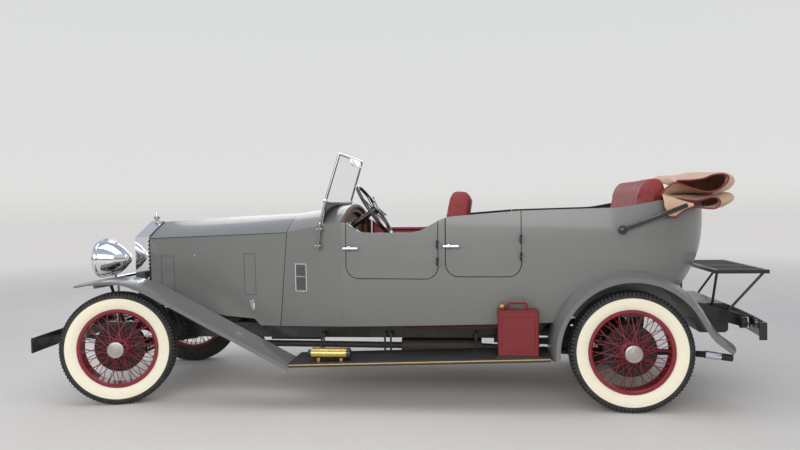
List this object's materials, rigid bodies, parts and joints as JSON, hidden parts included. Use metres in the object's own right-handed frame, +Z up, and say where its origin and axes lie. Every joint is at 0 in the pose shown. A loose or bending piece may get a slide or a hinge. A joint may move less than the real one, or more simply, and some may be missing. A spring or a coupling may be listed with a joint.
{
  "type": "vintage open touring car",
  "caption": "Open touring car with side doors, long hinged bonnet, wire wheels, sweeping wings, running boards, folded soft top and luggage rack; it rolls and steers.",
  "frame": {"origin": "middle of the car's bounding box, on the ground", "axes": "+X towards the front of the car, +Y to its left side, +Z up"},
  "size_m": [5.31, 1.746, 1.808],
  "materials": {
    "body_paint": "gloss",
    "wing_paint": "gloss",
    "black_paint": "gloss",
    "spring_steel": "satin",
    "cast_iron": "matte",
    "exhaust_steel": "satin",
    "plated": "polished",
    "radiator_black": "satin",
    "floor_wood": "satin",
    "brown_hide": "satin",
    "board_rubber": "matte",
    "clear_glass": "clear",
    "red_hide": "satin",
    "tan_cloth": "woven",
    "can_red": "gloss",
    "brass": "polished",
    "wheel_rim_black": "gloss",
    "tyre_rubber": "matte",
    "wheel_red": "gloss"
  },
  "bodies": {
    "car": {"chassis_frame": "black_paint", "front_axle": "black_paint", "rear_axle": "black_paint", "front_springs": "spring_steel", "rear_springs": "spring_steel", "engine_block": "cast_iron", "driveline": "cast_iron", "exhaust": "exhaust_steel", "fuel_tank": "black_paint", "radiator_shell": "plated", "radiator_core": "radiator_black", "scuttle": "body_paint", "body_tub": "body_paint", "body_floor": "floor_wood", "dashboard": "brown_hide", "front_wings": "wing_paint", "rear_wings": "wing_paint", "running_boards": "board_rubber", "headlamps": "plated", "front_bumper": "plated", "rear_bumper": "plated", "luggage_rack": "black_paint", "windscreen_frame": "plated", "windscreen_glass": "clear_glass", "front_seat": "red_hide", "rear_seat": "red_hide", "folded_hood": "tan_cloth", "hood_irons": "black_paint", "fuel_can": "can_red", "extinguisher": "brass", "tail_lamps": "black_paint", "steering_column": "black_paint", "board_irons": "black_paint"},
    "knuckle_left": {"knuckle_left": "black_paint"},
    "knuckle_right": {"knuckle_right": "black_paint"},
    "track_rod": {"track_rod": "black_paint"},
    "steering_wheel": {"steering_wheel": "wheel_rim_black"},
    "bonnet_left": {"bonnet_left": "body_paint"},
    "bonnet_right": {"bonnet_right": "body_paint"},
    "door_front_left": {"door_front_left": "body_paint"},
    "door_front_right": {"door_front_right": "body_paint"},
    "door_rear_left": {"door_rear_left": "body_paint"},
    "door_rear_right": {"door_rear_right": "body_paint"},
    "wheel_front_left": {"tyre_front_left": "tyre_rubber", "wheel_front_left": "wheel_red"},
    "wheel_front_right": {"tyre_front_right": "tyre_rubber", "wheel_front_right": "wheel_red"},
    "wheel_rear_left": {"tyre_rear_left": "tyre_rubber", "wheel_rear_left": "wheel_red"},
    "wheel_rear_right": {"tyre_rear_right": "tyre_rubber", "wheel_rear_right": "wheel_red"}
  },
  "joints": [
    {"name": "steering", "type": "hinge", "parent": "car", "child": "knuckle_left", "pos_m": [1.99, 0.654, 0.4075], "axis": [0, 0, 1], "range_deg": [-43, 17]},
    {"name": "steering_right", "type": "hinge", "parent": "car", "child": "knuckle_right", "pos_m": [1.99, -0.654, 0.4075], "axis": [0, 0, 1], "range_deg": [-43, 17]},
    {"name": "track_rod_end", "type": "hinge", "parent": "knuckle_left", "child": "track_rod", "pos_m": [1.82923, 0.61688, 0.3675], "axis": [0, 0, 1], "range_deg": [-17, 43]},
    {"name": "steering_wheel_turn", "type": "hinge", "parent": "car", "child": "steering_wheel", "pos_m": [0.125, 0.38, 1.38], "axis": [-0.829, 0, 0.5592], "range_deg": [-700, 280]},
    {"name": "wheel_front_left_spin", "type": "hinge", "parent": "knuckle_left", "child": "wheel_front_left", "pos_m": [1.97425, 0.72221, 0.4075], "axis": [-0.225, 0.9744, 0], "continuous": true},
    {"name": "wheel_front_right_spin", "type": "hinge", "parent": "knuckle_right", "child": "wheel_front_right", "pos_m": [2.00575, -0.72221, 0.4075], "axis": [-0.225, 0.9744, 0], "continuous": true},
    {"name": "wheel_rear_left_spin", "type": "hinge", "parent": "car", "child": "wheel_rear_left", "pos_m": [-1.655, 0.724, 0.4075], "axis": [0, 1, 0], "continuous": true},
    {"name": "wheel_rear_right_spin", "type": "hinge", "parent": "car", "child": "wheel_rear_right", "pos_m": [-1.655, -0.724, 0.4075], "axis": [0, 1, 0], "continuous": true},
    {"name": "bonnet_left_lift", "type": "hinge", "parent": "car", "child": "bonnet_left", "pos_m": [1.94, 0, 1.30624], "axis": [0.9987, 0, -0.051], "range_deg": [0, 60]},
    {"name": "bonnet_right_lift", "type": "hinge", "parent": "car", "child": "bonnet_right", "pos_m": [1.94, 0, 1.30624], "axis": [-0.9987, 0, 0.051], "range_deg": [0, 60]},
    {"name": "door_front_left_swing", "type": "hinge", "parent": "car", "child": "door_front_left", "pos_m": [-0.36, 0.70906, 1.1], "axis": [0, 0, 1], "range_deg": [0, 70]},
    {"name": "door_front_right_swing", "type": "hinge", "parent": "car", "child": "door_front_right", "pos_m": [-0.36, -0.70906, 1.1], "axis": [0, 0, -1], "range_deg": [0, 70]},
    {"name": "door_rear_left_swing", "type": "hinge", "parent": "car", "child": "door_rear_left", "pos_m": [-0.933, 0.73642, 1.1], "axis": [0, 0, 1], "range_deg": [0, 70]},
    {"name": "door_rear_right_swing", "type": "hinge", "parent": "car", "child": "door_rear_right", "pos_m": [-0.933, -0.73642, 1.1], "axis": [0, 0, -1], "range_deg": [0, 70]}
  ],
  "couplings": [
    {"joint": "steering_right", "follows": "steering", "ratio": 1},
    {"joint": "track_rod_end", "follows": "steering", "ratio": -1},
    {"joint": "steering_wheel_turn", "follows": "steering", "ratio": 16}
  ]
}
